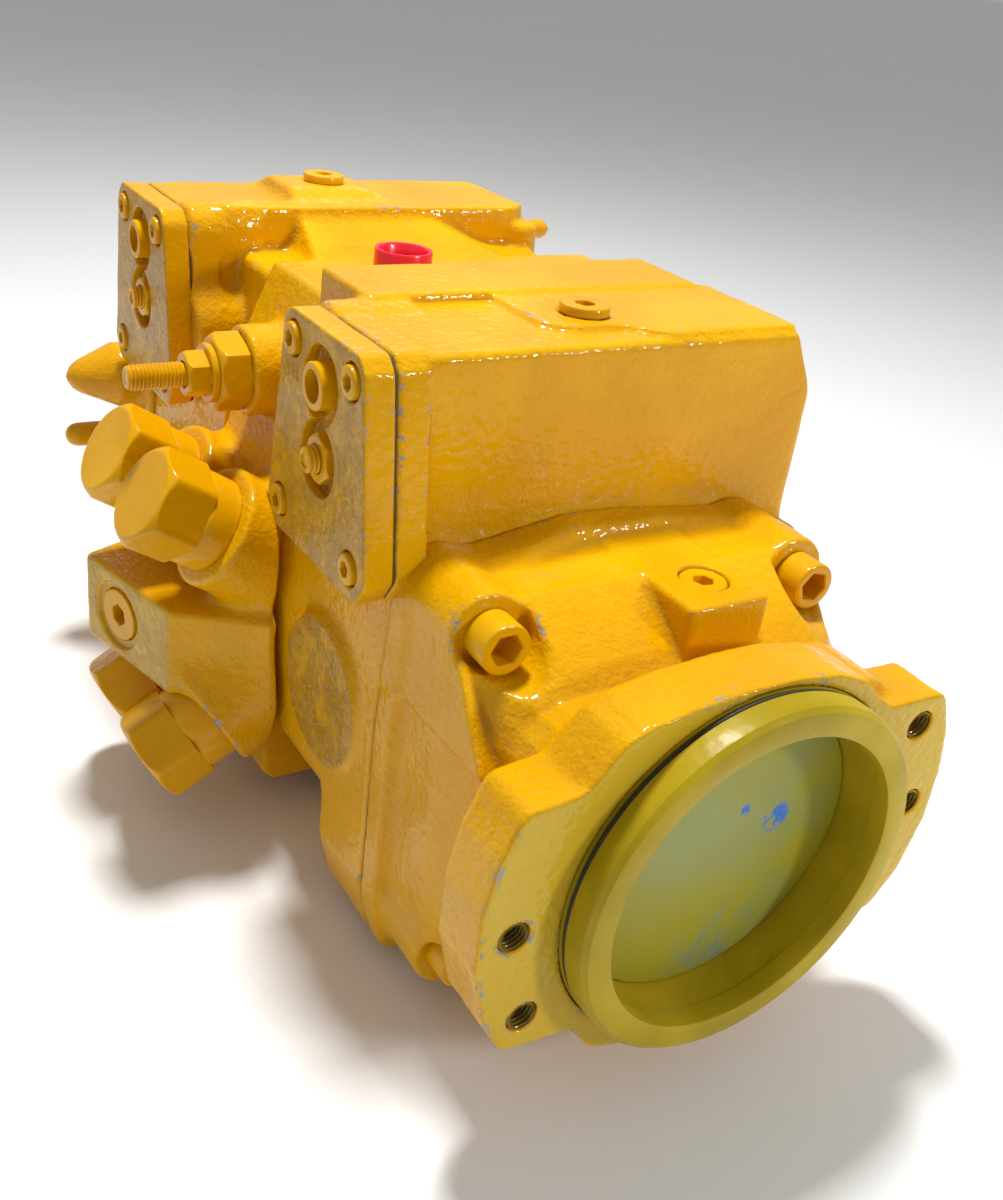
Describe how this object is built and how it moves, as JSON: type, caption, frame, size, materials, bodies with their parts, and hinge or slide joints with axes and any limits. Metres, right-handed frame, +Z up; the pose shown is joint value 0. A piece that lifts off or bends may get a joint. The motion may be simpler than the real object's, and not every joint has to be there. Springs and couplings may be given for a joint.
{
  "type": "tandem axial piston pump",
  "caption": "Closed-circuit tandem axial piston pump: two swashplate units back to back on a port block, with servo cylinders on top and a pilot flange with two ears.",
  "frame": {"origin": "centre of the pilot, on the plane of the mounting face", "axes": "+Y along the shaft from the mounting face to the rear unit, +Z up towards the servo cylinders, +X to the right seen from the front"},
  "size_m": [0.2869, 0.5352, 0.293],
  "materials": {
    "yellow_paint": "thick glossy enamel over cast metal",
    "worn_paint": "glossy enamel rubbed thin",
    "cover_plate": "satin, patchy olive over blue-grey",
    "red_plastic": "glossy, slightly see-through",
    "machined_steel": "ground",
    "cast_iron": "machined",
    "bronze": "machined bronze",
    "rubber": "matte",
    "gasket_fibre": "pressed fibre"
  },
  "bodies": {
    "casing": {"front_housing": "yellow_paint", "front_pump_housing": "yellow_paint", "port_block": "yellow_paint", "rear_pump_housing": "yellow_paint", "rear_cover": "yellow_paint", "front_servo_cover": "worn_paint", "rear_servo_cover": "worn_paint", "gaskets": "gasket_fibre", "servo_cover_screws": "yellow_paint", "housing_screws": "yellow_paint", "port_block_studs": "machined_steel", "servo_port_plugs": "yellow_paint", "stroke_limit_screws": "yellow_paint", "stroke_limit_nuts": "yellow_paint", "charge_relief_body": "yellow_paint", "charge_relief_screw": "yellow_paint", "charge_relief_nut": "yellow_paint", "relief_valve_plugs": "yellow_paint", "port_plugs": "yellow_paint", "seals": "rubber", "bearing_outer_rings": "machined_steel", "port_block_bushes": "bronze", "cradle_bearings": "bronze", "valve_plates": "bronze", "bleed_screws": "yellow_paint"},
    "drive_line": {"front_shaft": "machined_steel", "rear_shaft": "machined_steel", "shaft_coupling": "machined_steel", "front_barrel": "cast_iron", "rear_barrel": "cast_iron", "ball_guides": "machined_steel"},
    "rollers": {"bearing_rollers": "machined_steel"},
    "front_swash": {"front_swashplate": "cast_iron"},
    "front_servo": {"front_servo_piston": "machined_steel"},
    "front_retaining": {"front_retainer": "machined_steel"},
    "front_pistons_1": {"front_piston_1": "machined_steel"},
    "front_slippers_1": {"front_slipper_1": "bronze"},
    "front_pistons_2": {"front_piston_2": "machined_steel"},
    "front_slippers_2": {"front_slipper_2": "bronze"},
    "front_pistons_3": {"front_piston_3": "machined_steel"},
    "front_slippers_3": {"front_slipper_3": "bronze"},
    "front_pistons_4": {"front_piston_4": "machined_steel"},
    "front_slippers_4": {"front_slipper_4": "bronze"},
    "front_pistons_5": {"front_piston_5": "machined_steel"},
    "front_slippers_5": {"front_slipper_5": "bronze"},
    "rear_swash": {"rear_swashplate": "cast_iron"},
    "rear_servo": {"rear_servo_piston": "machined_steel"},
    "rear_retaining": {"rear_retainer": "machined_steel"},
    "rear_pistons_1": {"rear_piston_1": "machined_steel"},
    "rear_slippers_1": {"rear_slipper_1": "bronze"},
    "rear_pistons_2": {"rear_piston_2": "machined_steel"},
    "rear_slippers_2": {"rear_slipper_2": "bronze"},
    "rear_pistons_3": {"rear_piston_3": "machined_steel"},
    "rear_slippers_3": {"rear_slipper_3": "bronze"},
    "rear_pistons_4": {"rear_piston_4": "machined_steel"},
    "rear_slippers_4": {"rear_slipper_4": "bronze"},
    "rear_pistons_5": {"rear_piston_5": "machined_steel"},
    "rear_slippers_5": {"rear_slipper_5": "bronze"},
    "bore_closing_plate": {"bore_cover": "cover_plate"},
    "charge_port_cap": {"port_cap": "red_plastic"}
  },
  "joints": [
    {"name": "shaft_spin", "type": "hinge", "parent": "casing", "child": "drive_line", "pos_m": [0, 0.27085, 0], "axis": [0, 1, 0], "range_deg": [-360, 360]},
    {"name": "roller_orbit", "type": "hinge", "parent": "casing", "child": "rollers", "pos_m": [0, 0.27085, 0], "axis": [0, 1, 0], "range_deg": [-170, 170]},
    {"name": "front_tilt", "type": "hinge", "parent": "casing", "child": "front_swash", "pos_m": [0, 0.103, 0], "axis": [0, 0, 1], "range_deg": [-17, 17], "stiffness_Nm_per_rad": 40},
    {"name": "front_servo_stroke", "type": "slide", "parent": "casing", "child": "front_servo", "axis": [1, 0, 0], "range_m": [-0.0165, 0.0165]},
    {"name": "front_retainer_turn", "type": "hinge", "parent": "front_swash", "child": "front_retaining", "pos_m": [0, 0.103, 0], "axis": [0, 1, 0], "range_deg": [-360, 360]},
    {"name": "front_piston_stroke_1", "type": "slide", "parent": "drive_line", "child": "front_pistons_1", "axis": [0, 1, 0], "range_m": [-0.01488, 0.01488]},
    {"name": "front_slipper_tilt_1", "type": "hinge", "parent": "front_pistons_1", "child": "front_slippers_1", "pos_m": [0.048, 0.103, 0], "axis": [0, 0, 1], "range_deg": [-17.5, 17.5]},
    {"name": "front_piston_stroke_2", "type": "slide", "parent": "drive_line", "child": "front_pistons_2", "axis": [0, 1, 0], "range_m": [-0.01144, 0.01144]},
    {"name": "front_slipper_tilt_2", "type": "hinge", "parent": "front_pistons_2", "child": "front_slippers_2", "pos_m": [0.03677, 0.103, 0], "axis": [0, 0, 1], "range_deg": [-17.5, 17.5]},
    {"name": "front_piston_stroke_3", "type": "slide", "parent": "drive_line", "child": "front_pistons_3", "axis": [0, 1, 0], "range_m": [-0.00275, 0.00275]},
    {"name": "front_slipper_tilt_3", "type": "hinge", "parent": "front_pistons_3", "child": "front_slippers_3", "pos_m": [0.00834, 0.103, 0], "axis": [0, 0, 1], "range_deg": [-17.5, 17.5]},
    {"name": "front_piston_stroke_4", "type": "slide", "parent": "drive_line", "child": "front_pistons_4", "axis": [0, 1, 0], "range_m": [-0.00754, 0.00754]},
    {"name": "front_slipper_tilt_4", "type": "hinge", "parent": "front_pistons_4", "child": "front_slippers_4", "pos_m": [-0.024, 0.103, 0], "axis": [0, 0, 1], "range_deg": [-17.5, 17.5]},
    {"name": "front_piston_stroke_5", "type": "slide", "parent": "drive_line", "child": "front_pistons_5", "axis": [0, 1, 0], "range_m": [-0.01399, 0.01399]},
    {"name": "front_slipper_tilt_5", "type": "hinge", "parent": "front_pistons_5", "child": "front_slippers_5", "pos_m": [-0.0451, 0.103, 0], "axis": [0, 0, 1], "range_deg": [-17.5, 17.5]},
    {"name": "rear_tilt", "type": "hinge", "parent": "casing", "child": "rear_swash", "pos_m": [0, 0.4387, 0], "axis": [0, 0, 1], "range_deg": [-17, 17], "stiffness_Nm_per_rad": 40},
    {"name": "rear_servo_stroke", "type": "slide", "parent": "casing", "child": "rear_servo", "axis": [1, 0, 0], "range_m": [-0.0165, 0.0165]},
    {"name": "rear_retainer_turn", "type": "hinge", "parent": "rear_swash", "child": "rear_retaining", "pos_m": [0, 0.4387, 0], "axis": [0, 1, 0], "range_deg": [-360, 360]},
    {"name": "rear_piston_stroke_1", "type": "slide", "parent": "drive_line", "child": "rear_pistons_1", "axis": [0, 1, 0], "range_m": [-0.01488, 0.01488]},
    {"name": "rear_slipper_tilt_1", "type": "hinge", "parent": "rear_pistons_1", "child": "rear_slippers_1", "pos_m": [0.048, 0.4387, 0], "axis": [0, 0, 1], "range_deg": [-17.5, 17.5]},
    {"name": "rear_piston_stroke_2", "type": "slide", "parent": "drive_line", "child": "rear_pistons_2", "axis": [0, 1, 0], "range_m": [-0.01144, 0.01144]},
    {"name": "rear_slipper_tilt_2", "type": "hinge", "parent": "rear_pistons_2", "child": "rear_slippers_2", "pos_m": [0.03677, 0.4387, 0], "axis": [0, 0, 1], "range_deg": [-17.5, 17.5]},
    {"name": "rear_piston_stroke_3", "type": "slide", "parent": "drive_line", "child": "rear_pistons_3", "axis": [0, 1, 0], "range_m": [-0.00275, 0.00275]},
    {"name": "rear_slipper_tilt_3", "type": "hinge", "parent": "rear_pistons_3", "child": "rear_slippers_3", "pos_m": [0.00834, 0.4387, 0], "axis": [0, 0, 1], "range_deg": [-17.5, 17.5]},
    {"name": "rear_piston_stroke_4", "type": "slide", "parent": "drive_line", "child": "rear_pistons_4", "axis": [0, 1, 0], "range_m": [-0.00754, 0.00754]},
    {"name": "rear_slipper_tilt_4", "type": "hinge", "parent": "rear_pistons_4", "child": "rear_slippers_4", "pos_m": [-0.024, 0.4387, 0], "axis": [0, 0, 1], "range_deg": [-17.5, 17.5]},
    {"name": "rear_piston_stroke_5", "type": "slide", "parent": "drive_line", "child": "rear_pistons_5", "axis": [0, 1, 0], "range_m": [-0.01399, 0.01399]},
    {"name": "rear_slipper_tilt_5", "type": "hinge", "parent": "rear_pistons_5", "child": "rear_slippers_5", "pos_m": [-0.0451, 0.4387, 0], "axis": [0, 0, 1], "range_deg": [-17.5, 17.5]},
    {"name": "bore_cover_pull", "type": "slide", "parent": "casing", "child": "bore_closing_plate", "axis": [0, -1, 0], "range_m": [0, 0.03]},
    {"name": "port_cap_pull", "type": "slide", "parent": "casing", "child": "charge_port_cap", "axis": [0, 0, 1], "range_m": [0, 0.02]}
  ],
  "couplings": [
    {"joint": "roller_orbit", "follows": "shaft_spin", "ratio": 0.4561},
    {"joint": "front_servo_stroke", "follows": "front_tilt", "m_per_rad": -0.054689},
    {"joint": "front_retainer_turn", "follows": "shaft_spin", "ratio": 1},
    {"joint": "front_piston_stroke_1", "follows": "front_tilt", "m_per_rad": 0.04946},
    {"joint": "front_slipper_tilt_1", "follows": "front_tilt", "ratio": 1},
    {"joint": "front_piston_stroke_2", "follows": "front_tilt", "m_per_rad": 0.037889},
    {"joint": "front_slipper_tilt_2", "follows": "front_tilt", "ratio": 1},
    {"joint": "front_piston_stroke_3", "follows": "front_tilt", "m_per_rad": 0.008589},
    {"joint": "front_slipper_tilt_3", "follows": "front_tilt", "ratio": 1},
    {"joint": "front_piston_stroke_4", "follows": "front_tilt", "m_per_rad": -0.02473},
    {"joint": "front_slipper_tilt_4", "follows": "front_tilt", "ratio": 1},
    {"joint": "front_piston_stroke_5", "follows": "front_tilt", "m_per_rad": -0.046477},
    {"joint": "front_slipper_tilt_5", "follows": "front_tilt", "ratio": 1},
    {"joint": "rear_servo_stroke", "follows": "rear_tilt", "m_per_rad": 0.054689},
    {"joint": "rear_retainer_turn", "follows": "shaft_spin", "ratio": 1},
    {"joint": "rear_piston_stroke_1", "follows": "rear_tilt", "m_per_rad": 0.04946},
    {"joint": "rear_slipper_tilt_1", "follows": "rear_tilt", "ratio": 1},
    {"joint": "rear_piston_stroke_2", "follows": "rear_tilt", "m_per_rad": 0.037889},
    {"joint": "rear_slipper_tilt_2", "follows": "rear_tilt", "ratio": 1},
    {"joint": "rear_piston_stroke_3", "follows": "rear_tilt", "m_per_rad": 0.008589},
    {"joint": "rear_slipper_tilt_3", "follows": "rear_tilt", "ratio": 1},
    {"joint": "rear_piston_stroke_4", "follows": "rear_tilt", "m_per_rad": -0.02473},
    {"joint": "rear_slipper_tilt_4", "follows": "rear_tilt", "ratio": 1},
    {"joint": "rear_piston_stroke_5", "follows": "rear_tilt", "m_per_rad": -0.046477},
    {"joint": "rear_slipper_tilt_5", "follows": "rear_tilt", "ratio": 1}
  ]
}
